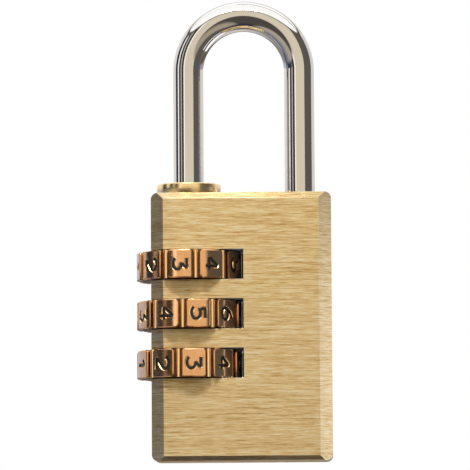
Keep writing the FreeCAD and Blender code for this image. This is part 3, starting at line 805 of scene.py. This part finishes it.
def make_world():
    """White to the camera. Metals see a room of white cards, dark gaps and a pale ceiling."""
    world = bpy.data.worlds.new("studio")
    bpy.context.scene.world = world
    world.use_nodes = True
    tree = world.node_tree
    tree.nodes.clear()
    direction = add_node(tree, "ShaderNodeTexCoord")
    axes = add_node(tree, "ShaderNodeSeparateXYZ", {0: direction.outputs["Generated"]})
    front = calculate(tree, "MULTIPLY", axes.outputs["Y"], -1.0)
    angle = calculate(tree, "ARCTAN2", axes.outputs["X"], front)
    around = add_node(tree, "ShaderNodeMapRange", {"Value": angle},
                      {"From Min": -math.pi, "From Max": math.pi})
    rise = calculate(tree, "ARCSINE", axes.outputs["Z"])
    room = None
    for index, (start, softness, stops) in enumerate(ROOM):
        layer = add_node(tree, "ShaderNodeValToRGB", {"Fac": around.outputs[0]})
        layer.color_ramp.interpolation = "LINEAR" if index in BLENDED_LAYERS else "CONSTANT"
        fill_ramp(layer, [((degrees + 180) / 360, colour) for degrees, colour in stops])
        if room is None:
            room = layer.outputs["Color"]
            continue
        lowest = math.radians(start - softness)
        highest = math.radians(start + softness)
        share = add_node(tree, "ShaderNodeMapRange", {"Value": rise},
                         {"From Min": lowest, "From Max": highest})
        mix = add_node(tree, "ShaderNodeMix",
                       {"Factor": share.outputs[0], MIX_UNDER: room, MIX_OVER: layer.outputs["Color"]},
                       data_type="RGBA", blend_type="MIX")
        room = mix.outputs[MIX_RESULT]
    behind = calculate(tree, "COMPARE", axes.outputs["Y"], ARCH_BACK, ARCH_HALF_WIDTH)
    right = calculate(tree, "GREATER_THAN", axes.outputs["X"], ARCH_LEFT_END)
    arched = add_node(tree, "ShaderNodeMix",
                      {"Factor": calculate(tree, "MULTIPLY", behind, right), MIX_UNDER: room},
                      {MIX_OVER: linear(ARCH_COLOUR)}, data_type="RGBA", blend_type="MIX")
    room = arched.outputs[MIX_RESULT]
    seen = add_node(tree, "ShaderNodeLightPath")
    lit = add_node(tree, "ShaderNodeBackground", {"Color": room}, {"Strength": ROOM_LIGHT})
    white = add_node(tree, "ShaderNodeBackground", values={"Color": linear("#FFFFFF"), "Strength": 1.0})
    either = add_node(tree, "ShaderNodeMixShader",
                      {0: seen.outputs["Is Camera Ray"], 1: lit.outputs[0], 2: white.outputs[0]})
    add_node(tree, "ShaderNodeOutputWorld", {"Surface": either.outputs[0]})


def make_floor():
    """A pale table, seen only from above: the camera stands a little lower than the lock."""
    material = bpy.data.materials.new("pale_table")
    material.use_nodes = True
    tree = material.node_tree
    tree.nodes.clear()
    seen = add_node(tree, "ShaderNodeLightPath")
    side = add_node(tree, "ShaderNodeNewGeometry")
    matt = add_node(tree, "ShaderNodeBsdfDiffuse", values={"Color": linear("#F2F1EF")})
    glow = add_node(tree, "ShaderNodeEmission", values={"Color": linear("#FFFFFF"), "Strength": TABLE_GLOW})
    lifted = add_node(tree, "ShaderNodeAddShader", {0: matt.outputs[0], 1: glow.outputs[0]})
    shown = add_node(tree, "ShaderNodeMixShader",
                     {0: seen.outputs["Is Camera Ray"], 1: matt.outputs[0], 2: lifted.outputs[0]})
    clear = add_node(tree, "ShaderNodeBsdfTransparent")
    one_sided = add_node(tree, "ShaderNodeMixShader",
                         {0: side.outputs["Backfacing"], 1: shown.outputs[0], 2: clear.outputs[0]})
    add_node(tree, "ShaderNodeOutputMaterial", {"Surface": one_sided.outputs[0]})
    half = TABLE_HALF_WIDTH * MM
    level = TABLE_LEVEL * MM
    corners = [(-half, -half, level), (half, -half, level), (half, half, level), (-half, half, level)]
    mesh = bpy.data.meshes.new("table")
    mesh.from_pydata(corners, [], [(0, 1, 2, 3)])
    mesh.materials.append(material)
    table = mesh_object("table", mesh)
    table.visible_glossy = False


def add_card(name, place, aim, size, power, colour):
    """A rectangle of soft light, in millimetres, turned towards a point and hidden from the camera."""
    card = bpy.data.lights.new(name, "AREA")
    card.shape = "RECTANGLE"
    card.size = size[0] * MM
    card.size_y = size[1] * MM
    card.energy = power
    card.color = linear(colour)[:3]
    lamp = bpy.data.objects.new(name, card)
    bpy.context.scene.collection.objects.link(lamp)
    lamp.visible_camera = False
    lamp.location = Vector(place) * MM
    lamp.rotation_mode = "QUATERNION"
    lamp.rotation_quaternion = (Vector(aim) - Vector(place)).to_track_quat("-Z", "Y")


def make_lights():
    """A far soft box high in front, and a card close at the right for that side's chamfer."""
    add_card("key_light", (-24, -230, 350), (-3, -4, 18), (160, 60), 0.65, "#FFF6E8")
    add_card("side_card", (34, 9, 5), (10, 9, 5), (34, 52), 0.0075, "#EEF1FF")


def make_camera():
    """A long lens a little below the lock's middle, tilted up, as in the photograph."""
    distance = 440 * MM
    aim = Vector((-0.74, 0.0, 25.25)) * MM
    azimuth = math.radians(1.39)
    elevation = math.radians(-5.16)
    roll = math.radians(-0.38)
    back = Vector((math.sin(azimuth) * math.cos(elevation), -math.cos(azimuth) * math.cos(elevation),
                   math.sin(elevation)))
    data = bpy.data.cameras.new("camera")
    data.sensor_width = 36
    data.lens = 302.1
    data.clip_start = 0.01
    data.clip_end = 20
    camera = bpy.data.objects.new("camera", data)
    bpy.context.scene.collection.objects.link(camera)
    camera.rotation_mode = "QUATERNION"
    camera.location = aim + back * distance
    facing = (-back).to_track_quat("-Z", "Y")
    camera.rotation_quaternion = facing @ Matrix.Rotation(roll, 4, "Z").to_quaternion()
    bpy.context.scene.camera = camera


# The object


def dress_inner_pieces():
    """The other pieces inside the lock keep their solids' meshes and get their own finishes."""
    finishes = {
        "sleeve_": sleeve_brass(),
        "lug_pin_": drawn_steel("ground_pin_steel", "#8E8B88", 0.3),
        "spring_washer": drawn_steel("washer_steel", "#9A9692", 0.3),
        "sleeve_spring": drawn_steel("spring_wire", "#7C7975", 0.28),
        "detent_strip": drawn_steel("blued_strip_steel", "#262423", 0.5),
        "detent_plug": bpy.data.materials["linished_brass"],
    }
    for node_name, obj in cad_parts.items():
        for start, material in finishes.items():
            if node_name.startswith(start):
                obj.data.materials.clear()
                obj.data.materials.append(material)


def make_spring():
    """The sleeves' spring in its solid's own form, a copy held by the lock case."""
    spring = mesh_object("coil_spring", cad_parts["sleeve_spring"].data.copy())
    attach(spring, "lock_case")
    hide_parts("sleeve_spring")
    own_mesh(spring)


def assemble():
    outside = linished_brass()
    inside = milled_dark_brass()
    # The pieces find these by their names
    turned_brass()
    bronzed_brass()
    rubbed_brass()
    dulled_bronze()
    black_enamel()
    chromed_steel()

    body = make_lock_body(outside, inside, burnished_edge())
    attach(body, "lock_case")
    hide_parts("lock_body")

    shackle = make_shackle()
    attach(shackle, "shackle")
    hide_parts("shackle")

    collar = make_collar()
    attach(collar, "lock_case")
    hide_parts("heel_collar")

    for name, dial in zip(DIALS, make_dials()):
        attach(dial, "dial_" + name)
        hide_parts("dial_" + name)
    dress_inner_pieces()
    make_spring()


bpy.context.scene.view_settings.view_transform = "Standard"
make_world()
make_floor()
make_lights()
make_camera()
assemble()
